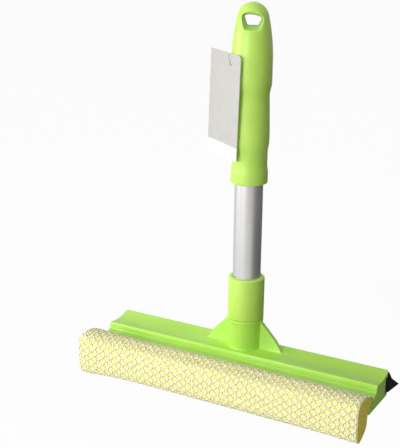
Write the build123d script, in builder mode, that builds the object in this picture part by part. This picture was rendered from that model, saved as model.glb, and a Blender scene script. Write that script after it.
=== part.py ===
from build123d import *
import os
from math import atan2, cos, degrees, radians, sin

os.makedirs("parts", exist_ok=True)

# A window scrubber: a handle with a hang eye, and a head with a sponge and a rubber blade.
# Millimetres. The origin is the centre of the hang eye, +Z up the handle, +X along the head.
# The sponge is in front, towards -Y, and the blade is behind, towards +Y.
# Heights are given above the lowest line of the head's top face, and level() places them.

# Overall
overrun = 2.0

# Tube
tube_radius = 11.0
tube_wall = 0.8
tube_fit = 0.05
tube_edge = 0.3
tube_shown = 75.8

# Grip: radii, and the lengths from one to the next, upwards
grip_lip = 0.9
grip_ring_radius = 14.25
grip_ring_length = 8.3
grip_ring_fall = 6.5
grip_neck_radius = 13.6
grip_neck_length = 9.0
grip_palm_radius = 14.65
grip_palm_swell = 10.0
grip_palm_length = 7.0
grip_waist_radius = 13.85
grip_waist_fall = 26.0
grip_belly_radius = 15.4
grip_belly_swell = 11.5
grip_belly_length = 15.5
grip_shoulder_radius = 13.9
grip_shoulder_rise = 20.0
grip_brow_radius = 11.6
grip_brow_rise = 12.4
grip_bore_roof = 14.7
grip_bore_chamfer = 0.6

# Hang eye, turned about the handle
eye_turn = 24.0
eye_below_top = 12.9
eye_low_width = 8.0
eye_high_width = 12.8
eye_half_height = 3.7
eye_left_fall = 0.5
eye_right_fall = 2.3
eye_crest_side = 1.5
eye_corner = 1.2
eye_draft = 13.5
flat_below_eye = 7.0
flat_low_depth = 12.1
flat_high_depth = 7.6

# Collar between the tube and the head
collar_radius = 14.3
collar_bottom = 25.3
collar_top = 59.4
collar_edge = 1.1
collar_foot_edge = 0.4
cup_floor = 33.0
spigot_length = 20.0
spigot_radius = 8.5
spigot_lead = 0.8
thread_radius = 9.6
thread_first = 1.5
thread_pitch = 5.0
thread_turns = 3
core_radius = 5.6
core_roof = 3.0

# Socket on the head
seat_gap = 0.25
socket_radius = 14.0
socket_foot_radius = 13.4
socket_band = 2.5
socket_band_step = 0.25
socket_clearance = 0.35
socket_floor = 3.4
socket_mouth_edge = 0.7
socket_rim = 0.4
socket_sink = 1.0
gusset_reach = 33.5
gusset_knee_reach = 27.5
gusset_knee_height = 9.2
gusset_top = 23.4
gusset_thickness = 3.4

# Head moulding, seen from its end
head_length = 237.0
body_depth = 16.4
back_reach = 7.9
back_rise = 3.9
back_round = 0.8
dish_reach = 5.5
ridge_reach = 15.9
ridge_rise = 0.9
ridge_front_reach = 17.9
ridge_round = 1.4
drop_reach = 18.6
drop_depth = 4.6
drop_round = 2.4
shelf_reach = 23.4
shelf_depth = 6.4
shelf_round = 1.2
toe_reach = 33.5
toe_round = 0.5
corner_round = 3.0
boss_underside = 3.1

# Pockets under the head
wall = 1.8
end_wall = 2.4
rib_thickness = 1.8
pocket_count = 9
pocket_roof = 2.4
pocket_round = 1.0

# Blade channel, open at both ends and to the back
channel_roof = 1.0
channel_floor = 14.4
channel_depth = 6.9
lip_thickness = 1.8
mouth_high = 2.8
mouth_low = 12.4

# Rubber blade
blade_slack = 0.25
blade_top_rise = 1.5
blade_foot_depth = 15.4
blade_knee_reach = 15.8
blade_knee_depth = 6.9
blade_reach = 33.4
blade_tip_depth = 18.5
blade_tip_thickness = 0.7
blade_knee_round = 3.0

# Sponge rail and its groove in the ramp
rail_slack = 0.3
rail_width = 13.2
rail_base = 2.0
rail_neck = 2.8
rail_head = 5.8
rail_head_depth = 1.5
groove_lip = 1.8
groove_lift = 2.6
rail_end_gap = 0.5

# Sponge, seen from its end, and how far it runs to each side
foam_left = 123.2
foam_right = 118.3
foam_top_reach = 40.0
foam_top_rise = 0.9
foam_front_reach = 55.2
foam_bottom_reach = 51.8
foam_bottom_depth = 33.8
foam_back_reach = 35.2
foam_back_depth = 25.4
foam_top_round = 12.0
foam_front_round = 5.5
foam_belly_depth = 22.0
foam_belly_round = 12.0
foam_bottom_round = 3.0
foam_back_round = 4.0
foam_end_round = 2.4

# Net over the sponge
net_gap = 0.25
net_thickness = 0.7

# Label card and its sticky pad
card_turn = 29.5
card_width = 40.5
card_height = 79.5
card_thickness = 0.8
card_corner = 0.9
card_near_corner = 4.2
card_lean = 2.5
card_side = 12.2
card_above_pad = 13.1
slit_side = 8.2
slit_depth = 9.0
slit_width = 0.6
pad_thickness = 0.5
pad_width = 8.0
pad_height = 14.0
pad_sink = 0.8

# Heights above the head's top face that follow from the lengths above
grip_bottom = collar_top + tube_shown
grip_ring_height = grip_bottom + grip_ring_length
grip_neck_low = grip_ring_height + grip_ring_fall
grip_neck_high = grip_neck_low + grip_neck_length
grip_palm_low = grip_neck_high + grip_palm_swell
grip_palm_high = grip_palm_low + grip_palm_length
grip_waist_height = grip_palm_high + grip_waist_fall
grip_belly_low = grip_waist_height + grip_belly_swell
grip_belly_high = grip_belly_low + grip_belly_length
grip_shoulder_height = grip_belly_high + grip_shoulder_rise
grip_brow_height = grip_shoulder_height + grip_brow_rise

# The crown is a ball cap that the shoulder's two arcs run into without a crease
shoulder_tilt = 2 * atan2(grip_belly_radius - grip_shoulder_radius, grip_shoulder_rise)
brow_tilt = 2 * atan2(grip_shoulder_radius - grip_brow_radius, grip_brow_rise) - shoulder_tilt
crown_radius = grip_brow_radius / cos(brow_tilt)
grip_top = grip_brow_height + crown_radius * (1 - sin(brow_tilt))

# The eye, the bore, the pad and the card follow from the grip's top and belly
eye_height = grip_top - eye_below_top
flat_start = eye_height - flat_below_eye
grip_bore_top = eye_height - eye_half_height - grip_bore_roof
pad_middle = (grip_belly_low + grip_belly_high) / 2
card_middle = pad_middle + card_above_pad - card_height / 2


def level(height):
    """Height above the head's top face, in the part's frame."""
    return height - eye_height


def at(reach, height):
    """A point of an outline on a plane through the handle's axis."""
    return (reach, level(height))


# The ramp that carries the sponge: its middle and its slope
ramp_middle = (-(shelf_reach + toe_reach) / 2, -(shelf_depth + body_depth) / 2)
ramp_slope = degrees(atan2(body_depth - shelf_depth, toe_reach - shelf_reach))


def on_ramp(along, out):
    """A point given along the ramp, upwards, and out from its face."""
    turn = radians(ramp_slope)
    reach = ramp_middle[0] + along * cos(turn) - out * sin(turn)
    height = ramp_middle[1] + along * sin(turn) + out * cos(turn)
    return at(reach, height)


def in_groove(across, out):
    """A point given across the groove, from its middle, and out from the ramp's face."""
    return on_ramp(groove_lift + across, out)


def behind_ramp(inset, height):
    """The point at a given height on the line that runs this far behind the ramp's face."""
    turn = radians(ramp_slope)
    along = (height - ramp_middle[1] + inset * cos(turn)) / sin(turn)
    return on_ramp(along, -inset)


def round_corner(point, radius):
    """Round the corner of the present sketch that is nearest to a point."""
    fillet(vertices().sort_by_distance(point)[0], radius=radius)


def cut_corner(point, length):
    """Cut the corner of the present sketch that is nearest to a point."""
    chamfer(vertices().sort_by_distance(point)[0], length=length)


# Tube: aluminium, pushed into the collar's cup and up into the grip
with BuildPart() as tube:
    tube_length = grip_bore_top - cup_floor
    with BuildSketch(Plane.XY.offset(level(cup_floor))):
        Circle(tube_radius)
        Circle(tube_radius - tube_wall, mode=Mode.SUBTRACT)
    extrude(amount=tube_length)
    chamfer(tube.edges().filter_by(GeomType.CIRCLE).sort_by(SortBy.RADIUS)[-2:], length=tube_edge)
tube.part.label = "tube"
export_step(tube.part, "parts/tube.step")

# Grip: a moulded sleeve with a belly, a waist and a bottom ring, flattened at the eye
front = Plane(
    origin=(0, 0, 0),
    x_dir=(cos(radians(eye_turn)), sin(radians(eye_turn)), 0),
    z_dir=(sin(radians(eye_turn)), -cos(radians(eye_turn)), 0),
)
side = Plane(
    origin=(0, 0, 0),
    x_dir=(sin(radians(eye_turn)), -cos(radians(eye_turn)), 0),
    z_dir=(-cos(radians(eye_turn)), -sin(radians(eye_turn)), 0),
)
back = Plane(origin=(0, 0, 0), x_dir=-front.x_dir, z_dir=-front.z_dir)
# Each pair is one swell of the sleeve, from its low end to its high end
grip_swells = [
    (grip_ring_radius, grip_ring_height),
    (grip_neck_radius, grip_neck_low),
    (grip_neck_radius, grip_neck_high),
    (grip_palm_radius, grip_palm_low),
    (grip_waist_radius, grip_waist_height),
    (grip_belly_radius, grip_belly_low),
]
with BuildPart() as grip:
    with BuildSketch(Plane.XZ):
        with BuildLine():
            Polyline(
                at(0, grip_top),
                at(0, grip_bottom),
                at(grip_ring_radius, grip_bottom),
                at(grip_ring_radius, grip_ring_height),
            )
            for low, high in zip(grip_swells[::2], grip_swells[1::2]):
                middle = at((low[0] + high[0]) / 2, (low[1] + high[1]) / 2)
                bend = TangentArc(at(*low), middle, tangent=(0, 1))
                TangentArc(middle, at(*high), tangent=bend % 1)
            Line(at(grip_neck_radius, grip_neck_low), at(grip_neck_radius, grip_neck_high))
            Polyline(
                at(grip_palm_radius, grip_palm_low),
                at(grip_palm_radius, grip_palm_high),
                at(grip_waist_radius, grip_waist_height),
            )
            bend = Line(at(grip_belly_radius, grip_belly_low), at(grip_belly_radius, grip_belly_high))
            bend = TangentArc(bend @ 1, at(grip_shoulder_radius, grip_shoulder_height), tangent=bend % 1)
            bend = TangentArc(bend @ 1, at(grip_brow_radius, grip_brow_height), tangent=bend % 1)
            RadiusArc(bend @ 1, at(0, grip_top), -crown_radius)
        make_face()
    revolve(axis=Axis.Z)
    chamfer(grip.edges().group_by(Axis.Z)[0], length=grip_lip)
    with BuildSketch(side):
        for facing in (1, -1):
            with BuildLine():
                Polyline(
                    at(facing * flat_low_depth, flat_start),
                    at(facing * (grip_belly_radius + overrun), flat_start),
                    at(facing * (grip_belly_radius + overrun), grip_top + overrun),
                    at(facing * flat_high_depth, grip_top + overrun),
                    close=True,
                )
            make_face()
    extrude(amount=grip_belly_radius + overrun, both=True, mode=Mode.SUBTRACT)
    for face_plane, hand in ((front, 1), (back, -1)):
        eye_left = (-hand * eye_high_width / 2, eye_half_height - eye_left_fall)
        eye_right = (hand * eye_high_width / 2, eye_half_height - eye_right_fall)
        with BuildSketch(face_plane):
            with BuildLine():
                Polyline(
                    eye_left,
                    (-hand * eye_low_width / 2, -eye_half_height),
                    (hand * eye_low_width / 2, -eye_half_height),
                    eye_right,
                )
                ThreePointArc(eye_right, (-hand * eye_crest_side, eye_half_height), eye_left)
            make_face()
            fillet(vertices(), radius=eye_corner)
        extrude(amount=grip_belly_radius, taper=-eye_draft, mode=Mode.SUBTRACT)
    with BuildSketch(Plane.XY.offset(level(grip_bottom))):
        Circle(tube_radius + tube_fit)
    extrude(amount=grip_bore_top - grip_bottom, mode=Mode.SUBTRACT)
    chamfer(grip.edges().filter_by(GeomType.CIRCLE).group_by(Axis.Z)[0], length=grip_bore_chamfer)
grip.part.label = "grip"
export_step(grip.part, "parts/grip.step")

# Collar: a cup for the tube above, a threaded spigot for the socket below
spigot_end = collar_bottom - spigot_length
with BuildPart() as collar:
    with BuildSketch(Plane.XZ):
        with BuildLine():
            Polyline(
                at(0, collar_top),
                at(collar_radius, collar_top),
                at(collar_radius, collar_bottom),
                at(spigot_radius, collar_bottom),
                at(spigot_radius, spigot_end),
                at(0, spigot_end),
                close=True,
            )
        make_face()
        cut_corner(at(collar_radius, collar_top), collar_edge)
        cut_corner(at(collar_radius, collar_bottom), collar_foot_edge)
        cut_corner(at(spigot_radius, spigot_end), spigot_lead)
    revolve(axis=Axis.Z)
    with BuildSketch(Plane.XZ):
        for turn in range(thread_turns):
            root = collar_bottom - thread_first - turn * thread_pitch
            with BuildLine():
                Polyline(
                    at(core_radius, root),
                    at(spigot_radius, root),
                    at(thread_radius, root - thread_pitch / 2),
                    at(spigot_radius, root - thread_pitch),
                    at(core_radius, root - thread_pitch),
                    close=True,
                )
            make_face()
    revolve(axis=Axis.Z)
    with BuildSketch(Plane.XY.offset(level(cup_floor))):
        Circle(tube_radius + tube_fit)
    extrude(amount=collar_top - cup_floor, mode=Mode.SUBTRACT)
    with BuildSketch(Plane.XY.offset(level(spigot_end))):
        Circle(core_radius)
    extrude(amount=cup_floor - core_roof - spigot_end, mode=Mode.SUBTRACT)
collar.part.label = "collar"
export_step(collar.part, "parts/collar.step")

# Head moulding: ramp and ridge in front, blade channel behind, socket and gussets on top
channel_inner = back_reach - channel_depth
lip_inner = back_reach - lip_thickness
socket_top = collar_bottom - seat_gap
groove_depth = groove_lip + rail_head_depth + 2 * rail_slack
pocket_pitch = (head_length - 2 * end_wall + rib_thickness) / pocket_count
with BuildPart() as head_body:
    with BuildSketch(Plane.YZ):
        with BuildLine():
            Polyline(
                at(back_reach, back_rise),
                at(back_reach, -body_depth),
                at(-toe_reach, -body_depth),
                at(-shelf_reach, -shelf_depth),
                at(-drop_reach, -drop_depth),
                at(-ridge_front_reach, ridge_rise),
                at(-ridge_reach, ridge_rise),
            )
            ThreePointArc(at(-ridge_reach, ridge_rise), at(-dish_reach, 0), at(back_reach, back_rise))
        make_face()
        round_corner(at(back_reach, back_rise), back_round)
        round_corner(at(-ridge_front_reach, ridge_rise), ridge_round)
        round_corner(at(-drop_reach, -drop_depth), drop_round)
        round_corner(at(-shelf_reach, -shelf_depth), shelf_round)
        round_corner(at(-toe_reach, -body_depth), toe_round)
    extrude(amount=head_length / 2, both=True)
    # Seen from above, the two back corners are rounded
    with BuildSketch(Plane.XY.offset(level(-body_depth))):
        with Locations((0, back_reach)):
            Rectangle(head_length, back_reach + toe_reach, align=(Align.CENTER, Align.MAX))
        fillet(vertices().group_by(Axis.Y)[-1], radius=corner_round)
    extrude(amount=body_depth + back_rise, mode=Mode.INTERSECT)
    # Socket, tapering down to the head, with a proud band at its rim
    with BuildSketch(Plane.XZ):
        with BuildLine():
            Polyline(
                at(0, -socket_sink),
                at(socket_foot_radius, -socket_sink),
                at(socket_radius, socket_top - socket_band),
                at(socket_radius + socket_band_step, socket_top - socket_band),
                at(socket_radius + socket_band_step, socket_top),
                at(0, socket_top),
                close=True,
            )
        make_face()
        cut_corner(at(socket_radius + socket_band_step, socket_top), socket_rim)
    revolve(axis=Axis.Z)
    # Its overhang behind the head ends above the blade
    with BuildSketch(Plane.XY.offset(level(boss_underside))):
        with Locations((0, back_reach)):
            Rectangle(2 * socket_radius, socket_radius, align=(Align.CENTER, Align.MIN))
    extrude(amount=-(boss_underside + socket_sink + overrun), mode=Mode.SUBTRACT)
    # Gussets, one to each side of the socket
    with BuildSketch(Plane.XZ):
        with BuildLine():
            Polyline(
                at(0, -socket_sink),
                at(gusset_reach, -socket_sink),
                at(gusset_reach, 0),
                at(gusset_knee_reach, gusset_knee_height),
                at(socket_radius, gusset_top),
                at(0, gusset_top),
                close=True,
            )
        make_face()
        mirror(about=Plane.YZ)
    extrude(amount=gusset_thickness / 2, both=True)
    with BuildSketch(Plane.XY.offset(level(socket_floor))):
        Circle(thread_radius + socket_clearance)
    extrude(amount=socket_top - socket_floor, mode=Mode.SUBTRACT)
    mouth = head_body.edges().filter_by(GeomType.CIRCLE).group_by(Axis.Z)[-1]
    chamfer(mouth.sort_by(SortBy.RADIUS)[0], length=socket_mouth_edge)
    # Pockets core the underside and leave cross ribs
    for number in range(pocket_count):
        place = (number - (pocket_count - 1) / 2) * pocket_pitch
        with BuildSketch(Plane.YZ.offset(place)):
            with BuildLine():
                Polyline(
                    at(channel_inner - wall, -body_depth - overrun),
                    at(channel_inner - wall, -pocket_roof),
                    behind_ramp(groove_depth + wall, -pocket_roof),
                    behind_ramp(groove_depth + wall, -body_depth - overrun),
                    close=True,
                )
            make_face()
            fillet(vertices().group_by(Axis.Y)[-1], radius=pocket_round)
        extrude(amount=(pocket_pitch - rib_thickness) / 2, both=True, mode=Mode.SUBTRACT)
    # Blade channel, its mouth narrower than the inside
    with BuildSketch(Plane.YZ):
        with BuildLine():
            Polyline(
                at(channel_inner, -channel_roof),
                at(lip_inner, -channel_roof),
                at(lip_inner, -mouth_high),
                at(back_reach + overrun, -mouth_high),
                at(back_reach + overrun, -mouth_low),
                at(lip_inner, -mouth_low),
                at(lip_inner, -channel_floor),
                at(channel_inner, -channel_floor),
                close=True,
            )
        make_face()
    extrude(amount=head_length / 2 + overrun, both=True, mode=Mode.SUBTRACT)
    # T groove in the ramp for the sponge's rail
    with BuildSketch(Plane.YZ):
        with BuildLine():
            Polyline(
                in_groove(-rail_neck / 2 - rail_slack, overrun),
                in_groove(-rail_neck / 2 - rail_slack, -groove_lip),
                in_groove(-rail_head / 2 - rail_slack, -groove_lip),
                in_groove(-rail_head / 2 - rail_slack, -groove_depth),
                in_groove(rail_head / 2 + rail_slack, -groove_depth),
                in_groove(rail_head / 2 + rail_slack, -groove_lip),
                in_groove(rail_neck / 2 + rail_slack, -groove_lip),
                in_groove(rail_neck / 2 + rail_slack, overrun),
                close=True,
            )
        make_face()
    extrude(amount=head_length / 2 + overrun, both=True, mode=Mode.SUBTRACT)
head_body.part.label = "head_body"
export_step(head_body.part, "parts/head_body.step")

# Rubber blade: a T root in the channel and a wedge that runs out to a thin edge
blade_slope = atan2(blade_tip_depth - blade_knee_depth, blade_reach - blade_knee_reach)
blade_face = back_reach + blade_slack
with BuildPart() as squeegee_blade:
    with BuildSketch(Plane.YZ):
        with BuildLine():
            Polyline(
                at(channel_inner + blade_slack, -channel_roof - blade_slack),
                at(lip_inner - blade_slack, -channel_roof - blade_slack),
                at(lip_inner - blade_slack, -mouth_high - blade_slack),
                at(blade_face, -mouth_high - blade_slack),
                at(blade_face, blade_top_rise),
                at(blade_knee_reach, -blade_knee_depth),
                at(blade_reach, -blade_tip_depth),
                at(
                    blade_reach - blade_tip_thickness * sin(blade_slope),
                    -blade_tip_depth - blade_tip_thickness * cos(blade_slope),
                ),
                at(blade_face, -blade_foot_depth),
                at(blade_face, -mouth_low + blade_slack),
                at(lip_inner - blade_slack, -mouth_low + blade_slack),
                at(lip_inner - blade_slack, -channel_floor + blade_slack),
                at(channel_inner + blade_slack, -channel_floor + blade_slack),
                close=True,
            )
        make_face()
        round_corner(at(blade_knee_reach, -blade_knee_depth), blade_knee_round)
    extrude(amount=head_length / 2, both=True)
squeegee_blade.part.label = "squeegee_blade"
export_step(squeegee_blade.part, "parts/squeegee_blade.step")

# Sponge rail: a strip that carries the foam, with a T foot that slides in the ramp's groove
with BuildPart() as sponge_rail:
    with BuildSketch(Plane.YZ):
        with BuildLine():
            Polyline(
                on_ramp(-rail_width / 2, rail_slack),
                on_ramp(-rail_width / 2, rail_slack + rail_base),
                on_ramp(rail_width / 2, rail_slack + rail_base),
                on_ramp(rail_width / 2, rail_slack),
                in_groove(rail_neck / 2, rail_slack),
                in_groove(rail_neck / 2, -groove_lip - rail_slack),
                in_groove(rail_head / 2, -groove_lip - rail_slack),
                in_groove(rail_head / 2, -groove_lip - rail_slack - rail_head_depth),
                in_groove(-rail_head / 2, -groove_lip - rail_slack - rail_head_depth),
                in_groove(-rail_head / 2, -groove_lip - rail_slack),
                in_groove(-rail_neck / 2, -groove_lip - rail_slack),
                in_groove(-rail_neck / 2, rail_slack),
                close=True,
            )
        make_face()
    extrude(amount=head_length / 2 - rail_end_gap, both=True)
sponge_rail.part.label = "sponge_rail"
export_step(sponge_rail.part, "parts/sponge_rail.step")

# Sponge: one outline for the foam, from which the net keeps an even gap
with BuildSketch(Plane.YZ) as foam_outline:
    with BuildLine():
        Polyline(
            on_ramp(rail_width / 2, rail_slack + rail_base),
            at(-foam_top_reach, foam_top_rise),
            at(-foam_front_reach, foam_top_rise),
            at(-foam_front_reach, -foam_belly_depth),
            at(-foam_bottom_reach, -foam_bottom_depth),
            at(-foam_back_reach, -foam_back_depth),
            on_ramp(-rail_width / 2, rail_slack + rail_base),
            close=True,
        )
    make_face()
    round_corner(at(-foam_top_reach, foam_top_rise), foam_top_round)
    round_corner(at(-foam_front_reach, foam_top_rise), foam_front_round)
    round_corner(at(-foam_front_reach, -foam_belly_depth), foam_belly_round)
    round_corner(at(-foam_bottom_reach, -foam_bottom_depth), foam_bottom_round)
    round_corner(at(-foam_back_reach, -foam_back_depth), foam_back_round)

with BuildPart() as sponge_foam:
    with BuildSketch(Plane.YZ.offset(-foam_left)):
        add(foam_outline.sketch_local)
    extrude(amount=foam_left + foam_right)
    left_end = sponge_foam.faces().sort_by(Axis.X)[0]
    fillet(left_end.edges(), radius=foam_end_round)
sponge_foam.part.label = "sponge_foam"
export_step(sponge_foam.part, "parts/sponge_foam.step")

# Net sleeve round the foam, open at both ends, with its two edges along the rail
with BuildPart() as mesh_net:
    with BuildSketch(Plane.YZ.offset(-foam_left)):
        offset(foam_outline.sketch_local, amount=net_gap + net_thickness)
        offset(foam_outline.sketch_local, amount=net_gap, mode=Mode.SUBTRACT)
        with BuildLine():
            Polyline(
                on_ramp(-rail_width / 2, rail_slack + rail_base),
                on_ramp(rail_width / 2, rail_slack + rail_base),
                on_ramp(rail_width / 2, -overrun),
                on_ramp(-rail_width / 2, -overrun),
                close=True,
            )
        make_face(mode=Mode.SUBTRACT)
    extrude(amount=foam_left + foam_right)
mesh_net.part.label = "mesh_net"
export_step(mesh_net.part, "parts/mesh_net.step")

# Label card: flat, held against the grip's belly by a sticky pad
card_turned = radians(card_turn)
card_plane = Plane(
    origin=(0, 0, level(card_middle)),
    x_dir=(cos(card_turned), -sin(card_turned), 0),
    z_dir=(-sin(card_turned), -cos(card_turned), 0),
).offset(grip_belly_radius + pad_thickness)
with BuildSketch() as card_outline:
    Rectangle(card_width, card_height)
    round_corner((card_width / 2, card_height / 2), card_near_corner)
    round_corner((-card_width / 2, card_height / 2), card_corner)
    round_corner((-card_width / 2, -card_height / 2), card_corner)
    round_corner((card_width / 2, -card_height / 2), card_corner)
    with Locations((slit_side, card_height / 2)):
        Rectangle(slit_width, 2 * slit_depth, mode=Mode.SUBTRACT)

with BuildPart() as label_card:
    with BuildSketch(card_plane):
        with Locations(Location((-card_side, 0, 0), (0, 0, -card_lean))):
            add(card_outline.sketch)
    extrude(amount=card_thickness)
label_card.part.label = "label_card"
export_step(label_card.part, "parts/label_card.step")

with BuildPart() as label_pad:
    with BuildSketch(card_plane):
        with Locations((0, pad_middle - card_middle)):
            Rectangle(pad_width, pad_height)
    extrude(amount=-pad_thickness - pad_sink)
    add(grip.part, mode=Mode.SUBTRACT)
label_pad.part.label = "label_pad"
export_step(label_pad.part, "parts/label_pad.step")
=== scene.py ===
# Looks for a window scrubber: moulded grip and head, alloy tube, netted foam roll, rubber blade
from math import cos, pi, radians, sin, sqrt, tan

import bmesh
import bpy
from mathutils import Matrix, Vector
from mathutils.bvhtree import BVHTree


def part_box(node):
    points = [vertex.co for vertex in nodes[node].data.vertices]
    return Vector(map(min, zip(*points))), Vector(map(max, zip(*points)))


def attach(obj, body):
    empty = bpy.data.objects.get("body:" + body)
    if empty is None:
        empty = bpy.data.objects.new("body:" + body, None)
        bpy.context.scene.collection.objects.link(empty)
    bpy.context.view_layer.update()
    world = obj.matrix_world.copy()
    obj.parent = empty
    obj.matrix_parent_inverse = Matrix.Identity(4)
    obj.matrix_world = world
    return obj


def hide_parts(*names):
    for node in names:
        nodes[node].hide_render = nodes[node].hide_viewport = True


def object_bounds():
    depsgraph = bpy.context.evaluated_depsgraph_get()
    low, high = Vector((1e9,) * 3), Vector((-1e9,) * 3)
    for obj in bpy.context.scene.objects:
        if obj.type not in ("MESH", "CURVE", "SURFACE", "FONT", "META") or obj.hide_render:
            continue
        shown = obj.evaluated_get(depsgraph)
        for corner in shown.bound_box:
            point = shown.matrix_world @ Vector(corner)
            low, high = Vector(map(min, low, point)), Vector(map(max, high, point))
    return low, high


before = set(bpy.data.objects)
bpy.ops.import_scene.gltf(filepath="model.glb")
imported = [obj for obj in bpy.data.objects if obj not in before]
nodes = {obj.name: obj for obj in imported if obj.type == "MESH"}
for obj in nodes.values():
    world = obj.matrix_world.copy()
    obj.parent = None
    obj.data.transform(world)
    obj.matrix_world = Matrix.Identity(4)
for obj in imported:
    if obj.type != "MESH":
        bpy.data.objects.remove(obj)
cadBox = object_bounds()
mm = 0.001
print("frame loaded:", len(nodes), "nodes")


def tint(red, green, blue):  # a colour as a paint program shows it
    parts = [value / 255 for value in (red, green, blue)]
    return [p / 12.92 if p < 0.04045 else ((p + 0.055) / 1.055) ** 2.4 for p in parts] + [1.0]


def fillSockets(tree, made, sockets):  # a value is set, another node's output is linked
    for key, value in sockets.items():
        if isinstance(value, bpy.types.NodeSocket):
            tree.links.new(value, made.inputs[key])
        else:
            made.inputs[key].default_value = value


def addNode(tree, kind, sockets=None, **settings):
    made = tree.nodes.new("ShaderNode" + kind)
    for key, value in settings.items():
        setattr(made, key, value)
    fillSockets(tree, made, sockets or {})
    return made


def compute(tree, operation, *values, **settings):
    return addNode(tree, "Math", dict(enumerate(values)), operation=operation, **settings).outputs[0]


def useGroup(tree, group, sockets):
    made = tree.nodes.new("ShaderNodeGroup")
    made.node_tree = group
    fillSockets(tree, made, sockets)
    return made.outputs


def newGroup(name, inputs, outputs):
    group = bpy.data.node_groups.new(name, "ShaderNodeTree")
    for label, value in inputs.items():
        kind = "NodeSocketFloat" if isinstance(value, float) else "NodeSocketColor"
        group.interface.new_socket(label, in_out="INPUT", socket_type=kind).default_value = value
    for label, kind in outputs.items():
        group.interface.new_socket(label, in_out="OUTPUT", socket_type="NodeSocket" + kind)
    return group, group.nodes.new("NodeGroupInput").outputs, group.nodes.new("NodeGroupOutput").inputs


def mixColours(tree, share, first, second):
    return addNode(tree, "Mix", {0: share, 6: first, 7: second}, data_type="RGBA").outputs[2]


def remap(tree, value, fromLow, fromHigh, toLow=0.0, toHigh=1.0):  # the finishes hold these in this order
    sockets = {0: value, 1: fromLow, 2: fromHigh, 3: toLow, 4: toHigh}
    return addNode(tree, "MapRange", sockets).outputs[0]


def emptyTree(made):
    made.use_nodes = True
    made.node_tree.nodes.clear()
    return made.node_tree


def newMaterial(name, shaderValues):
    made = bpy.data.materials.new(name)
    tree = emptyTree(made)
    shader = addNode(tree, "BsdfPrincipled", shaderValues)
    addNode(tree, "OutputMaterial", {"Surface": shader.outputs[0]})
    return made, tree, shader.inputs


def objectPlace(tree):
    return addNode(tree, "TexCoord").outputs["Object"]


def noise(tree, place, scale, detail, **more):
    sockets = {"Vector": place, "Scale": scale, "Detail": detail, **more}
    return addNode(tree, "TexNoise", sockets).outputs["Fac"]


def drawnNoise(tree, scale, detail):  # noise drawn out along the axis whose scale is small
    place = addNode(tree, "Mapping", {"Vector": objectPlace(tree), "Scale": scale}).outputs[0]
    return noise(tree, place, 1.0, detail)


def bump(tree, height):  # heights are given in metres
    return addNode(tree, "Bump", {"Strength": 1.0, "Distance": 1.0, "Height": height}).outputs[0]


clouds = {"detail": 6.0, "roughness": 0.6, "middle": 0.5}


def makeMottle():  # two tints in soft clouds, with finer clouds inside them
    group, given, out = newGroup(
        "mottle",
        {"Tint": (0.5, 0.5, 0.5, 1), "Deep Tint": (0.4, 0.4, 0.4, 1), "Scale": 40.0, "Contrast": 0.15},
        {"Color": "Color", "Fac": "Float"},
    )
    place = objectPlace(group)
    cloud = noise(group, place, given["Scale"], clouds["detail"], Roughness=clouds["roughness"])
    low = compute(group, "SUBTRACT", clouds["middle"], given["Contrast"])
    high = compute(group, "ADD", clouds["middle"], given["Contrast"])
    share = remap(group, cloud, low, high)
    group.links.new(mixColours(group, share, given["Tint"], given["Deep Tint"]), out["Color"])
    group.links.new(share, out["Fac"])
    return group


wear = {
    "agreement": (0.998, 0.9),  # of a face's normal with the rounded one
    "rubbed": (0.42, 0.62),
    "detail": 4.0,
    "samples": 6,
    "share": 0.5,
}


def makeEdgeWear():  # a broken mask along the edges that hands and shelves rub
    group, given, out = newGroup("edgeWear", {"Width": 0.0006, "Patch Scale": 260.0}, {"Mask": "Float"})
    rounded = addNode(group, "Bevel", {"Radius": given["Width"]}, samples=wear["samples"]).outputs[0]
    flat = addNode(group, "NewGeometry").outputs["Normal"]
    product = addNode(group, "VectorMath", {0: rounded, 1: flat}, operation="DOT_PRODUCT")
    edge = remap(group, product.outputs["Value"], *wear["agreement"])
    patch = noise(group, objectPlace(group), given["Patch Scale"], wear["detail"])
    rubbed = remap(group, patch, *wear["rubbed"])
    group.links.new(compute(group, "MULTIPLY", edge, rubbed, use_clamp=True), out["Mask"])
    return group


skin = {
    "cloudScale": 30.0,
    "smearScale": 95.0,
    "smearDetail": 8.0,
    "smearSway": 0.8,
    "smears": (0.3, 0.7),
    "grainDetail": 2.0,
}


def makeMouldedSkin():  # satin plastic: flow clouds, rubbed edges, handling smears, spark-eroded grain
    group, given, out = newGroup(
        "mouldedSkin",
        {
            "Tint": (0.5, 0.8, 0.1, 1),
            "Deep Tint": (0.4, 0.7, 0.1, 1),
            "Edge Tint": (0.7, 0.9, 0.3, 1),
            "Gloss Low": 0.32,
            "Gloss High": 0.46,
            "Grain Scale": 1700.0,
            "Grain Depth": 0.00003,
        },
        {"Color": "Color", "Roughness": "Float", "Height": "Float"},
    )
    tints = {"Tint": given["Tint"], "Deep Tint": given["Deep Tint"], "Scale": skin["cloudScale"]}
    body = useGroup(group, mottle, tints)["Color"]
    share = compute(group, "MULTIPLY", useGroup(group, edgeWear, {})["Mask"], wear["share"])
    group.links.new(mixColours(group, share, body, given["Edge Tint"]), out["Color"])
    place = objectPlace(group)
    smear = noise(group, place, skin["smearScale"], skin["smearDetail"], Distortion=skin["smearSway"])
    gloss = remap(group, smear, *skin["smears"], given["Gloss Low"], given["Gloss High"])
    group.links.new(gloss, out["Roughness"])
    grain = noise(group, place, given["Grain Scale"], skin["grainDetail"])
    group.links.new(compute(group, "MULTIPLY", grain, given["Grain Depth"]), out["Height"])
    return group


mottle = makeMottle()
edgeWear = makeEdgeWear()
mouldedSkin = makeMouldedSkin()


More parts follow.
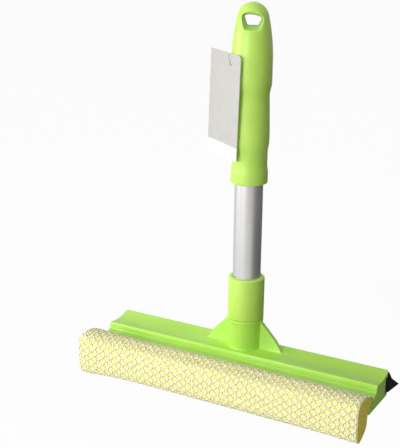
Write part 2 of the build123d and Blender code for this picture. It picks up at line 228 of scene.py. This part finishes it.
gripFinish = {
    "skin": {
        "Tint": tint(189, 227, 98),
        "Deep Tint": tint(180, 219, 86),
        "Edge Tint": tint(224, 250, 156),
        "Gloss Low": 0.36,
        "Gloss High": 0.48,
    },
    "body": {
        "Subsurface Weight": 0.12,
        "Subsurface Radius": (0.002, 0.003, 0.001),
        "Subsurface Scale": 0.6,
    },
    "seamHalf": 0.14 * mm,
    "seamRise": 0.05 * mm,
}
headFinish = {
    "skin": {
        "Tint": tint(179, 228, 90),
        "Deep Tint": tint(171, 221, 80),
        "Edge Tint": tint(208, 248, 142),
        "Gloss Low": 0.34,
        "Gloss High": 0.46,
    },
    "body": {
        "Subsurface Weight": 0.1,
        "Subsurface Radius": (0.002, 0.003, 0.001),
        "Subsurface Scale": 0.6,
    },
}


def makeMoulded(name, finish):
    made, tree, shader = newMaterial(name, finish["body"])
    surface = useGroup(tree, mouldedSkin, finish["skin"])
    height = surface["Height"]
    if "seamRise" in finish:  # the mould's parting line, down both sides
        across = addNode(tree, "SeparateXYZ", {0: objectPlace(tree)}).outputs["Y"]
        away = compute(tree, "ABSOLUTE", across)
        seam = remap(tree, away, finish["seamHalf"], 0.0, 0.0, finish["seamRise"])
        height = compute(tree, "ADD", height, seam)
    tree.links.new(surface["Color"], shader["Base Color"])
    tree.links.new(surface["Roughness"], shader["Roughness"])
    tree.links.new(bump(tree, height), shader["Normal"])
    return made


tubeFinish = {
    "tint": tint(206, 205, 204),
    "deepTint": tint(186, 185, 184),
    "cloud": {"Scale": 24.0, "Contrast": 0.25},
    "drawLines": (1400.0, 1400.0, 14.0),
    "lineDetail": 3.0,
    "lineDepth": 0.004 * mm,
    "streaks": (0.3, 0.7, 0.0, 0.35),
    "roughness": (0.0, 0.6, 0.36, 0.5),
}


def makeTubeMetal():
    made, tree, shader = newMaterial("drawnAlloy", {"Metallic": 1.0})
    lines = drawnNoise(tree, tubeFinish["drawLines"], tubeFinish["lineDetail"])
    tints = {"Tint": tubeFinish["tint"], "Deep Tint": tubeFinish["deepTint"]}
    cloud = useGroup(tree, mottle, {**tints, **tubeFinish["cloud"]})
    streak = remap(tree, lines, *tubeFinish["streaks"])
    tree.links.new(mixColours(tree, streak, cloud["Color"], tubeFinish["deepTint"]), shader["Base Color"])
    both = compute(tree, "MULTIPLY", lines, cloud["Fac"])
    tree.links.new(remap(tree, both, *tubeFinish["roughness"]), shader["Roughness"])
    tree.links.new(bump(tree, compute(tree, "MULTIPLY", lines, tubeFinish["lineDepth"])), shader["Normal"])
    return made


rubberFinish = {
    "tints": {"Tint": tint(24, 23, 25), "Deep Tint": tint(14, 13, 15), "Scale": 60.0},
    "bloom": tint(96, 94, 92),
    "dustScale": 420.0,
    "dustDetail": 5.0,
    "dust": (0.52, 0.8, 0.0, 0.1),
    "dieLines": (8.0, 1100.0, 1100.0),
    "lineDetail": 2.0,
    "lineDepth": 0.012 * mm,
    "body": {"Roughness": 0.65, "Specular IOR Level": 0.1},
}


def makeRubber():
    made, tree, shader = newMaterial("bladeRubber", rubberFinish["body"])
    body = useGroup(tree, mottle, rubberFinish["tints"])["Color"]
    dust = noise(tree, objectPlace(tree), rubberFinish["dustScale"], rubberFinish["dustDetail"])
    share = remap(tree, dust, *rubberFinish["dust"])
    tree.links.new(mixColours(tree, share, body, rubberFinish["bloom"]), shader["Base Color"])
    lines = drawnNoise(tree, rubberFinish["dieLines"], rubberFinish["lineDetail"])
    tree.links.new(bump(tree, compute(tree, "MULTIPLY", lines, rubberFinish["lineDepth"])), shader["Normal"])
    return made


foamFinish = {
    # the third tint of each is painted shade in the foam's pits
    "skin": (tint(253, 248, 158), tint(249, 241, 136), tint(226, 206, 98)),  # body, deep, pore
    # the cut ends: the same foam tinted deeper ochre, painted shade for the end faces
    "cut": (tint(251, 232, 106), tint(245, 221, 88), tint(216, 186, 62)),
    "poreScale": 1500.0,
    "poreDepth": 0.12 * mm,
    "pitShadeShare": 0.6,
    "pit": (0.75, 0.35),  # from its rim to its floor
    "cloud": {"Scale": 160.0, "Contrast": 0.2},
    "body": {
        "Roughness": 0.92,
        "Specular IOR Level": 0.2,
        "Subsurface Weight": 0.15,
        "Subsurface Radius": (0.004, 0.0035, 0.001),
        "Subsurface Scale": 0.6,
    },
}


def makeFoamLook(name, tints):
    made, tree, shader = newMaterial(name, foamFinish["body"])
    pale, deep, pitShade = tints
    body = useGroup(tree, mottle, {"Tint": pale, "Deep Tint": deep, **foamFinish["cloud"]})["Color"]
    spread = {"Vector": objectPlace(tree), "Scale": foamFinish["poreScale"]}
    cells = addNode(tree, "TexVoronoi", spread, feature="F1").outputs
    size = addNode(tree, "SeparateXYZ", {0: cells["Color"]}).outputs["X"]  # each pit has its own width
    nearness = compute(tree, "ADD", cells["Distance"], size)
    pit = remap(tree, nearness, *foamFinish["pit"])
    # the pits are real dents, and their darker tint is painted shade
    share = compute(tree, "MULTIPLY", pit, foamFinish["pitShadeShare"])
    tree.links.new(mixColours(tree, share, body, pitShade), shader["Base Color"])
    tree.links.new(bump(tree, compute(tree, "MULTIPLY", pit, -foamFinish["poreDepth"])), shader["Normal"])
    return made


yarnFinish = {
    "tint": tint(254, 247, 202),
    "deepTint": tint(253, 243, 188),
    "twistScale": 400.0,
    "twistDepth": 0.035 * mm,
    "twistSway": 1.5,
    "shade": (0.75, 0.1, 0.0, 0.8),
    "fuzzScale": 5200.0,
    "fuzzDetail": 3.0,
    "fuzzDepth": 0.03 * mm,
    "body": {
        "Roughness": 0.88,
        "Specular IOR Level": 0.25,
        "Sheen Weight": 0.6,
        "Subsurface Weight": 0.5,
        "Subsurface Radius": (0.003, 0.0025, 0.0015),
        "Subsurface Scale": 0.4,
    },
}


def makeYarnLook():
    made, tree, shader = newMaterial("netYarn", yarnFinish["body"])
    flat = addNode(tree, "Attribute", attribute_name="netFlat").outputs["Vector"]  # the net laid flat
    waves = {"Vector": flat, "Scale": yarnFinish["twistScale"], "Distortion": yarnFinish["twistSway"]}
    twist = addNode(tree, "TexWave", waves, bands_direction="Y").outputs["Fac"]
    fuzz = noise(tree, flat, yarnFinish["fuzzScale"], yarnFinish["fuzzDetail"])
    # the twist's grooves take the deeper tint: painted shade
    share = remap(tree, twist, *yarnFinish["shade"])
    colour = mixColours(tree, share, yarnFinish["tint"], yarnFinish["deepTint"])
    tree.links.new(colour, shader["Base Color"])
    fibres = compute(tree, "MULTIPLY", twist, yarnFinish["twistDepth"])
    height = compute(tree, "MULTIPLY_ADD", fuzz, yarnFinish["fuzzDepth"], fibres)
    tree.links.new(bump(tree, height), shader["Normal"])
    return made


cardFinish = {
    "grey": (tint(184, 182, 177), tint(178, 176, 171)),
    "white": (tint(246, 244, 238), tint(238, 235, 226)),
    "cloud": {"Scale": 120.0, "Contrast": 0.2},
    "fibre": (900.0, 900.0, 160.0),
    "fibreDetail": 5.0,
    "fibreDepth": 0.012 * mm,
    "patches": (0.4, 0.75, 0.0, 0.4),
    "roughness": (0.3, 0.7, 0.42, 0.6),
    "body": {"Specular IOR Level": 0.35},
}


def makeCardLook(name, tints):
    made, tree, shader = newMaterial(name, cardFinish["body"])
    pale, deep = tints
    body = useGroup(tree, mottle, {"Tint": pale, "Deep Tint": deep, **cardFinish["cloud"]})["Color"]
    fibre = drawnNoise(tree, cardFinish["fibre"], cardFinish["fibreDetail"])
    share = remap(tree, fibre, *cardFinish["patches"])
    tree.links.new(mixColours(tree, share, body, deep), shader["Base Color"])
    tree.links.new(remap(tree, fibre, *cardFinish["roughness"]), shader["Roughness"])
    tree.links.new(bump(tree, compute(tree, "MULTIPLY", fibre, cardFinish["fibreDepth"])), shader["Normal"])
    return made


padFinish = {
    "tints": {"Tint": tint(238, 238, 232), "Deep Tint": tint(222, 221, 214), "Scale": 500.0},
    "cellScale": 2400.0,
    "cellDepth": 0.05 * mm,
    "body": {"Roughness": 0.85, "Specular IOR Level": 0.3},
}


def makePadLook():
    made, tree, shader = newMaterial("padFoam", padFinish["body"])
    tree.links.new(useGroup(tree, mottle, padFinish["tints"])["Color"], shader["Base Color"])
    spread = {"Vector": objectPlace(tree), "Scale": padFinish["cellScale"]}
    cells = addNode(tree, "TexVoronoi", spread).outputs["Distance"]
    tree.links.new(bump(tree, compute(tree, "MULTIPLY", cells, padFinish["cellDepth"])), shader["Normal"])
    return made


gripPlastic = makeMoulded("gripPlastic", gripFinish)
headPlastic = makeMoulded("headPlastic", headFinish)
drawnAlloy = makeTubeMetal()
bladeRubber = makeRubber()
openCellFoam = makeFoamLook("openCellFoam", foamFinish["skin"])
# the foam again in a deeper ochre, painted shade for the cut end faces
cutFoamPaintedShade = makeFoamLook("cutFoamPaintedShade", foamFinish["cut"])
netYarn = makeYarnLook()
cardGrey = makeCardLook("cardGrey", cardFinish["grey"])
cardWhite = makeCardLook("cardWhite", cardFinish["white"])
padFoam = makePadLook()
print("materials made")


copies = {
    "merge": 0.004 * mm,
    "flat": radians(0.4),
    "sharp": radians(32),
    "bevelSteps": 2,
    "shadeAngle": 35,
}


def addObject(name, data):
    made = bpy.data.objects.new(name, data)
    bpy.context.scene.collection.objects.link(made)
    return made


def meshFrom(bm, name):
    mesh = bpy.data.meshes.new(name)
    bm.to_mesh(mesh)
    bm.free()
    return mesh


def finishPiece(name, bm, body, looks, sharpAngle=copies["shadeAngle"]):
    mesh = meshFrom(bm, name)
    made = addObject(name, mesh)
    for look in looks:
        mesh.materials.append(look)
    mesh.shade_smooth()
    if sharpAngle:
        mesh.set_sharp_from_angle(angle=radians(sharpAngle))
    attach(made, body)
    return made


def mergedCopy(nodeName):
    bm = bmesh.new()
    bm.from_mesh(nodes[nodeName].data)
    bmesh.ops.remove_doubles(bm, verts=bm.verts, dist=copies["merge"])
    bmesh.ops.dissolve_limit(bm, angle_limit=copies["flat"], verts=bm.verts, edges=bm.edges)
    for face in bm.faces:
        face.material_index = 0
    return bm


def softenEdges(bm, width):  # mould edges are never dead sharp
    sharp = [e for e in bm.edges if len(e.link_faces) == 2 and e.calc_face_angle() > copies["sharp"]]
    bmesh.ops.bevel(
        bm,
        geom=sharp,
        offset=width,
        offset_type="OFFSET",
        segments=copies["bevelSteps"],
        profile=0.5,
        affect="EDGES",
        clamp_overlap=True,
        material=-1,
    )
    return bm


shells = {  # piece: CAD node, body, slot, look, edge width
    "gripShell": ("grip", "handle", "grip_plastic", gripPlastic, 0.5 * mm),
    "collarShell": ("collar", "handle", "grip_plastic", gripPlastic, 0.2 * mm),
    "headMoulding": ("head_body", "head", "head_plastic", headPlastic, 0.25 * mm),
}
for name, (nodeName, body, slot, look, edge) in shells.items():
    piece = finishPiece(name, softenEdges(mergedCopy(nodeName), edge), body, [look])
    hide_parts(nodeName)
for nodeName, look in (("tube", drawnAlloy), ("squeegee_blade", bladeRubber), ("sponge_rail", headPlastic)):
    nodes[nodeName].data.materials.clear()
    nodes[nodeName].data.materials.append(look)
print("moulded shells, tube, blade and rail finished")

roll = {
    "corners": [  # in mm, the roll seen from its end: forward of the handle, above the head's top, rounding
        (-25.38, -5.12, 0),
        (-40.0, 0.9, 12.0),
        (-55.2, 0.9, 5.5),
        (-55.2, -22.0, 12.0),
        (-51.8, -33.8, 3.0),
        (-35.2, -25.4, 4.0),
        (-34.76, -14.41, 0),
    ],
    "rise": 0.9,  # in mm, of the foam over the head's top
    "arcSteps": 8,
    "inset": 0.7 * mm,
    "spare": 8.0 * mm,
    "voxel": 2.4 * mm,
    "pressure": 4.0,
    "frames": 20,
    "cap": 1.1 * mm,
    "seat": 1.6 * mm,
    "press": 0.2 * mm,
    "bulge": 0.62 * mm,
    "reach": 1.6 * mm,
    "flare": 2.4 * mm,  # the far end is slack and stands fuller
    "flareLength": 62.0 * mm,
    "flareOver": 1.3 * mm,
    "flareEase": 12.0 * mm,
    "endRound": 5.0 * mm,
    "endShare": 0.6,
    "clothQuality": 4,
    "sharpAngle": 50,
}
foamLow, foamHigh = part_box("sponge_foam")
foamLow.x -= roll["flareOver"]
headTop = foamHigh.z - roll["rise"] * mm
cornerPlaces = [Vector((0, y * mm, z * mm + headTop)) for y, z, _ in roll["corners"]]
seatTop, seatFoot = cornerPlaces[0], cornerPlaces[-1]


def outlineFace(bm, x):
    corners = [bm.verts.new((x, place.y, place.z)) for place in cornerPlaces]
    face = bm.faces.new(corners)
    places = [corner.co.copy() for corner in corners]
    for i, (_, _, rounding) in enumerate(roll["corners"]):
        if rounding:
            before = places[i - 1] - places[i]
            after = places[(i + 1) % len(places)] - places[i]
            bmesh.ops.bevel(
                bm,
                geom=[corners[i]],
                offset=rounding * mm / tan(before.angle(after) / 2),
                offset_type="OFFSET",
                segments=roll["arcSteps"],
                profile=0.5,
                affect="VERTICES",
                clamp_overlap=False,
                material=-1,
            )
    return bm.faces[:][0]


def evaluatedCopy(made):
    bpy.context.view_layer.update()
    return bpy.data.meshes.new_from_object(made.evaluated_get(bpy.context.evaluated_depsgraph_get()))


def nearSeat(place):  # how far a point lies from the flat that the rail holds
    along = seatFoot - seatTop
    share = min(max((place - seatTop).dot(along) / along.length_squared, 0), 1)
    nearest = seatTop + along * share
    return Vector((0, place.y - nearest.y, place.z - nearest.z)).length


def makeFoam():
    bm = bmesh.new()
    face = outlineFace(bm, foamLow.x - roll["spare"])
    inset = bmesh.ops.inset_individual(bm, faces=[face], thickness=roll["inset"], use_even_offset=True)
    bmesh.ops.delete(bm, geom=inset["faces"], context="FACES")
    grown = bmesh.ops.extrude_face_region(bm, geom=bm.faces[:])["geom"]
    length = foamHigh.x - foamLow.x + 2 * roll["spare"]
    farVerts = [v for v in grown if isinstance(v, bmesh.types.BMVert)]
    bmesh.ops.translate(bm, vec=(length, 0, 0), verts=farVerts)
    bmesh.ops.recalc_face_normals(bm, faces=bm.faces)
    made = addObject("foamStart", meshFrom(bm, "foamStart"))
    voxels = made.modifiers.new("Remesh", "REMESH")
    voxels.mode = "VOXEL"
    voxels.voxel_size = roll["voxel"]
    made.data = evaluatedCopy(made)
    made.modifiers.clear()
    swellFoam(made)
    flareFoam(made)
    smoother = made.modifiers.new("Subdivision", "SUBSURF")
    smoother.levels = smoother.render_levels = 1
    bm = bmesh.new()
    bm.from_mesh(evaluatedCopy(made))
    bpy.data.objects.remove(made)
    return bm


def swellFoam(made):  # the sponge is cut full and pushes against its net
    start = [v.co.copy() for v in made.data.vertices]
    held = made.vertex_groups.new(name="held")
    held.add([i for i, place in enumerate(start) if nearSeat(place) < roll["seat"]], 1.0, "REPLACE")
    cloth = made.modifiers.new("Cloth", "CLOTH")
    cloth.settings.use_pressure = True
    cloth.settings.uniform_pressure_force = roll["pressure"]
    cloth.settings.vertex_group_mass = "held"
    cloth.settings.effector_weights.gravity = 0
    cloth.settings.quality = roll["clothQuality"]
    cloth.collision_settings.use_collision = False
    for step in range(1, roll["frames"] + 1):
        bpy.context.scene.frame_set(step)
        evaluated = made.evaluated_get(bpy.context.evaluated_depsgraph_get())
        swollen = [v.co.copy() for v in evaluated.data.vertices]
    made.modifiers.clear()
    bpy.context.scene.frame_set(1)
    for v, was, now in zip(made.data.vertices, start, swollen):
        move = now - was
        v.co = was + move.normalized() * min(move.length, roll["cap"])


def flareFoam(made):
    middle = sum(cornerPlaces, Vector()) / len(cornerPlaces)
    for v in made.data.vertices:
        share = min(max(1 - (v.co.x - foamLow.x) / roll["flareLength"], 0), 1) ** 2
        ease = min(nearSeat(v.co) / roll["flareEase"], 1)
        out = Vector((0, v.co.y, v.co.z)) - middle
        drawn = min(max(1 - (v.co.x - foamLow.x) / roll["endRound"], 0), 1)
        rounding = roll["endRound"] * (1 - sqrt(1 - drawn * drawn)) * roll["endShare"]
        v.co += out.normalized() * (roll["flare"] * share - rounding) * ease


foamShape = makeFoam()
foamTree = BVHTree.FromBMesh(foamShape)
print("foam swollen:", len(foamShape.faces), "faces", "")

net = {
    "columnStep": 3.8 * mm,
    "rowStep": 6.05 * mm,
    "ply": 0.59 * mm,  # radius of each of the two plies in a yarn
    "pair": 0.54 * mm,
    "sway": 0.2,
    "over": 0.5,
    "meet": 0.68 * mm,
    "flatten": 0.42,
    "lift": 0.02 * mm,
    "pointsPerRow": 10,
    "sharpen": 1.15,
    "hem": 1.1 * mm,
    "hemTwist": 3.4 * mm,
    "hemPair": 0.4,
    "hemThickness": 0.7,
    "search": 8.0 * mm,
    "plyPhase": 0.8,
    "pathEnd": 0.999999,
    "sharpAngle": 0,
}


def netPath():  # the roll's outline as points, from one edge of the rail round to the other
    bm = bmesh.new()
    path = [v.co.copy() for v in outlineFace(bm, 0).verts]
    bm.free()
    first = min(range(len(path)), key=lambda i: (path[i] - seatTop).length)
    path = path[first:] + path[:first]
    return path if (path[-1] - seatFoot).length < copies["merge"] else [path[0]] + path[:0:-1]


def outward(first, second):
    step = (second - first).normalized()
    return Vector((0, step.z, -step.y))


def makeNet():
    path = netPath()
    ends = [0.0]
    for first, second in zip(path, path[1:]):
        ends.append(ends[-1] + (second - first).length)
    middle = sum(path, Vector()) / len(path)
    sides = [outward(first, second) for first, second in zip(path, path[1:])]
    if sides[0].dot(path[0] - middle) < 0:
        sides = [-side for side in sides]
    total = ends[-1]
    rows = round(total / net["rowStep"])
    rowStep = total / rows
    columns = round((foamHigh.x - foamLow.x) / net["columnStep"])
    columnStep = (foamHigh.x - foamLow.x - 2 * net["hem"]) / columns

    curve = bpy.data.curves.new("netLines", "CURVE")
    curve.dimensions = "3D"
    curve.bevel_depth = net["ply"]
    curve.bevel_resolution = 0

    def addStrand(points, thickness=1.0):
        strand = curve.splines.new("POLY")
        strand.points.add(len(points) - 1)
        for target, place in zip(strand.points, points):
            target.co = (*place, 1)
            target.radius = thickness

    def plyOffset(turn, ply):  # the plies lie side by side and pass over and under each other a little
        half = net["pair"] if ply else -net["pair"]
        return half * (1 + net["sway"] * cos(2 * turn)), half * net["over"] * sin(turn)

    swing = columnStep / 2 - net["meet"]
    for column in range(columns):
        line = foamLow.x + net["hem"] + (column + 0.5) * columnStep
        hand = 1 if column % 2 else -1
        for ply in (0, 1):
            points = []
            for step in range(rows * net["pointsPerRow"] + 1):
                turn = 2 * pi * step / net["pointsPerRow"]
                side = max(-1, min(1, cos(turn) * net["sharpen"])) * hand
                across, up = plyOffset(turn + net["plyPhase"], ply)
                points.append((line + swing * side + across, rowStep * step / net["pointsPerRow"], up))
            addStrand(points)
    hemSteps = round(total / net["hemTwist"]) * net["pointsPerRow"]
    for line in (foamLow.x + net["hem"], foamHigh.x - net["hem"]):  # the yarn that closes each end
        for ply in (0, 1):
            points = []
            for step in range(hemSteps + 1):
                across, up = plyOffset(2 * pi * step / net["pointsPerRow"], ply)
                points.append((line + across * net["hemPair"], total * step / hemSteps, up))
            addStrand(points, net["hemThickness"])

    flatNet = addObject("netLines", curve)
    bm = bmesh.new()
    bm.from_mesh(evaluatedCopy(flatNet))
    bpy.data.objects.remove(flatNet)
    flatPlace = bm.verts.layers.float_vector.new("netFlat")
    for v in bm.verts:  # wrap the flat net round the roll and rest it on the foam
        v[flatPlace] = v.co
        along = min(max(v.co.y, 0.0), total * net["pathEnd"])
        k = next(i for i in range(len(sides)) if ends[i + 1] > along)
        share = (along - ends[k]) / (ends[k + 1] - ends[k])
        before = sides[max(k - 1, 0)] + sides[k]
        after = sides[k] + sides[min(k + 1, len(sides) - 1)]
        side = before.normalized().lerp(after.normalized(), share).normalized()
        base = path[k].lerp(path[k + 1], share)
        base.x = min(max(v.co.x, foamLow.x), foamHigh.x)
        hit = foamTree.ray_cast(base + side * net["search"], -side, 2 * net["search"])[0]
        if hit is not None:
            base = hit
        base.x = v.co.x
        v.co = base + side * (v.co.z * net["flatten"] + net["lift"] + net["ply"] * net["flatten"])
    bmesh.ops.recalc_face_normals(bm, faces=bm.faces)
    return bm


netShape = makeNet()
netTree = BVHTree.FromBMesh(netShape)
netPiece = finishPiece("netSleeve", netShape, "sponge", [netYarn], net["sharpAngle"])
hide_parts("mesh_net")
print("net wrapped:", len(netPiece.data.polygons), "faces")


def quiltFoam(bm):  # the foam stands up in the net's openings and is pressed under its yarns
    bm.normal_update()
    moves = []
    for v in bm.verts:
        gap = netTree.find_nearest(v.co, roll["reach"] * 2)[3]
        share = 1.0 if gap is None else min(gap / roll["reach"], 1.0)
        share = share * share * (3 - 2 * share)
        out = -roll["press"] + (roll["press"] + roll["bulge"]) * share
        moves.append(v.normal * (out if nearSeat(v.co) > roll["seat"] else 0.0))
    for v, move in zip(bm.verts, moves):
        v.co += move
    for x, way in ((foamLow.x, -1), (foamHigh.x, 1)):  # both ends are knife cuts
        whole = bm.verts[:] + bm.edges[:] + bm.faces[:]
        plane = {"plane_co": (x, 0, 0), "plane_no": (way, 0, 0)}
        cut = bmesh.ops.bisect_plane(bm, geom=whole, clear_outer=True, **plane)
        cutEdges = [e for e in cut["geom_cut"] if isinstance(e, bmesh.types.BMEdge)]
        for face in bmesh.ops.contextual_create(bm, geom=cutEdges)["faces"]:
            # the cut faces take the deeper copy, their painted shade
            face.material_index = 1
    bmesh.ops.recalc_face_normals(bm, faces=bm.faces)
    return bm


foamLooks = [openCellFoam, cutFoamPaintedShade]
foamPiece = finishPiece("foamRoll", quiltFoam(foamShape), "sponge", foamLooks, roll["sharpAngle"])
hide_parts("sponge_foam")
print("foam quilted:", len(foamPiece.data.polygons), "faces")

card = {
    "turn": radians(29.5),
    "lean": radians(2.5),
    "height": 79.5 * mm,
    "strip": 10.4 * mm,  # the white band along its foot
    "slit": 7.9 * mm,
    "slitDepth": 9.0 * mm,
    "flapWidth": 6.0 * mm,
    "flapRise": 2.6 * mm,
    "flapCuts": 5,
    "flapCurve": 1.7,
    "facing": 0.6,
    "edge": 0.12 * mm,
    "padEdge": 0.1 * mm,
}


def makeCard():
    low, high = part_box("label_card")
    place = Matrix.Translation((low + high) / 2) @ Matrix.Rotation(-card["turn"], 4, "Z")
    upright = Matrix.Rotation(radians(90), 4, "X") @ Matrix.Rotation(-card["lean"], 4, "Z")
    place = place @ upright  # x across, y up, z out
    bm = mergedCopy("label_card")
    bmesh.ops.transform(bm, matrix=place.inverted(), verts=bm.verts)

    def cut(point, facing):
        whole = bm.verts[:] + bm.edges[:] + bm.faces[:]
        bmesh.ops.bisect_plane(bm, geom=whole, plane_co=point, plane_no=facing)

    top = card["height"] / 2
    stripTop = card["strip"] - top
    cut((0, stripTop, 0), (0, 1, 0))
    hinge = Vector((card["slit"] - card["flapWidth"], top, 0))
    slitFoot = top - card["slitDepth"]
    foldLine = Vector((card["slit"], slitFoot, 0)) - hinge
    foldSide = Vector((-foldLine.y, foldLine.x, 0)).normalized()
    reach = (Vector((card["slit"], top, 0)) - hinge).dot(foldSide)
    cut((0, slitFoot, 0), (0, 1, 0))
    for step in range(card["flapCuts"]):
        cut(hinge + foldSide * reach * step / card["flapCuts"], foldSide)
    for v in bm.verts:  # the corner left of the slit lifts off the card's face
        share = (v.co - hinge).dot(foldSide) / reach
        onFlap = v.co.x < card["slit"] + copies["merge"] and v.co.y > slitFoot + copies["merge"]
        if share > 0 and onFlap:
            v.co.z += card["flapRise"] * share ** card["flapCurve"]
    front = max(v.co.z for v in bm.verts if v.co.y < 0)
    for face in bm.faces:
        middle = face.calc_center_median()
        printed = face.normal.z > card["facing"] and middle.y > stripTop and middle.z > front / 2
        face.material_index = 0 if printed else 1
    softenEdges(bm, card["edge"])
    bmesh.ops.transform(bm, matrix=place, verts=bm.verts)
    return bm


cardPiece = finishPiece("labelCard", makeCard(), "handle", [cardGrey, cardWhite])
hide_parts("label_card")
padShape = softenEdges(mergedCopy("label_pad"), card["padEdge"])
padPiece = finishPiece("stickyPad", padShape, "handle", [padFoam])
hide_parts("label_pad")
print("card and pad made")

studio = {
    "spot": (0.3315, -0.6646, 0.0713),
    "azimuth": radians(29.38),
    "elevation": radians(17.07),
    "roll": radians(0.63),
    "lens": 90,
    "sensor": 36,
    "clipStart": 0.01,
    "target": (0, 0, -0.15),
    "lamps": {  # name: place, width, height, watts
        "key": ((-1.28, -0.78, 0.02), 0.4, 0.35, 10.6),
        "fill": ((-0.31, -1.47, 0.04), 0.7, 0.35, 8.6),
        "top": ((-0.1, -0.7, 0.8), 0.8, 0.8, 5.7),
    },
    "ambient": 0.3,
    "floorDrop": 0.13,
    "floorHalf": 15.0,
    "floorGlow": 0.96,
    "skyTint": (0.94, 0.97, 1.0, 1),
    "floorTint": (0.8, 0.8, 0.8, 1),
    "white": (1, 1, 1, 1),
}
flagCard = {
    "spot": (0.325, 0.215, -0.265),
    "aim": (0.08, 0.05, 0.0),
    "half": (0.58, 0.22),
    "finish": {"Base Color": (0.14, 0.14, 0.14, 1), "Roughness": 0.9},
}


def aim(made, target):
    made.rotation_euler = (Vector(target) - made.location).to_track_quat("-Z", "Y").to_euler()


camera = addObject("photoCamera", bpy.data.cameras.new("photoCamera"))
camera.data.lens = studio["lens"]
camera.data.sensor_width = studio["sensor"]
camera.data.sensor_fit = "HORIZONTAL"
camera.data.clip_start = studio["clipStart"]
camera.matrix_world = (
    Matrix.Translation(studio["spot"])
    @ Matrix.Rotation(studio["azimuth"], 4, "Z")
    @ Matrix.Rotation(radians(90) - studio["elevation"], 4, "X")
    @ Matrix.Rotation(studio["roll"], 4, "Z")
)
bpy.context.scene.camera = camera

for name, (spot, width, height, watts) in studio["lamps"].items():
    lamp = addObject(name, bpy.data.lights.new(name, "AREA"))
    lamp.data.shape = "RECTANGLE"
    lamp.data.energy = watts
    lamp.data.size = width
    lamp.data.size_y = height
    lamp.location = spot
    aim(lamp, studio["target"])


def seenDirectly(tree):  # one for camera, mirror and glass rays
    rays = addNode(tree, "LightPath").outputs
    both = compute(tree, "ADD", rays["Is Camera Ray"], rays["Is Glossy Ray"])
    return compute(tree, "ADD", both, rays["Is Transmission Ray"], use_clamp=True)


def makeWorld():
    world = bpy.data.worlds.new("studio")
    bpy.context.scene.world = world
    tree = emptyTree(world)
    dim = addNode(tree, "Background", {"Color": studio["skyTint"], "Strength": studio["ambient"]}).outputs[0]
    white = addNode(tree, "Background", {"Color": studio["white"], "Strength": 1.0}).outputs[0]
    mix = addNode(tree, "MixShader", {0: seenDirectly(tree), 1: dim, 2: white}).outputs[0]
    addNode(tree, "OutputWorld", {"Surface": mix})


def makeFloor():
    bm = bmesh.new()
    bmesh.ops.create_grid(bm, x_segments=8, y_segments=8, size=studio["floorHalf"])
    bmesh.ops.translate(bm, vec=(0, 0, cadBox[0][2] - studio["floorDrop"]), verts=bm.verts)
    mesh = meshFrom(bm, "floor")
    made = bpy.data.materials.new("paleFloor")
    tree = emptyTree(made)
    glow = addNode(tree, "Emission", {"Color": studio["white"], "Strength": 1.0}).outputs[0]
    matte = addNode(tree, "BsdfDiffuse", {"Color": studio["floorTint"]}).outputs[0]
    share = compute(tree, "MULTIPLY", seenDirectly(tree), studio["floorGlow"])
    mix = addNode(tree, "MixShader", {0: share, 1: matte, 2: glow}).outputs[0]
    addNode(tree, "OutputMaterial", {"Surface": mix})
    mesh.materials.append(made)
    addObject("floor", mesh)


def makeFlag():  # a dark card at the right that gives the tube its shaded side
    bm = bmesh.new()
    bmesh.ops.create_grid(bm, x_segments=2, y_segments=2, size=1.0)
    bmesh.ops.scale(bm, vec=(*flagCard["half"], 1), verts=bm.verts)
    mesh = meshFrom(bm, "flag")
    mesh.materials.append(newMaterial("flagBlack", flagCard["finish"])[0])
    flag = addObject("flag", mesh)
    flag.location = flagCard["spot"]
    aim(flag, flagCard["aim"])
    flag.visible_camera = False
    flag.visible_shadow = False


makeWorld()
makeFloor()
makeFlag()
bpy.context.scene.view_settings.view_transform = "Standard"
print("studio set")
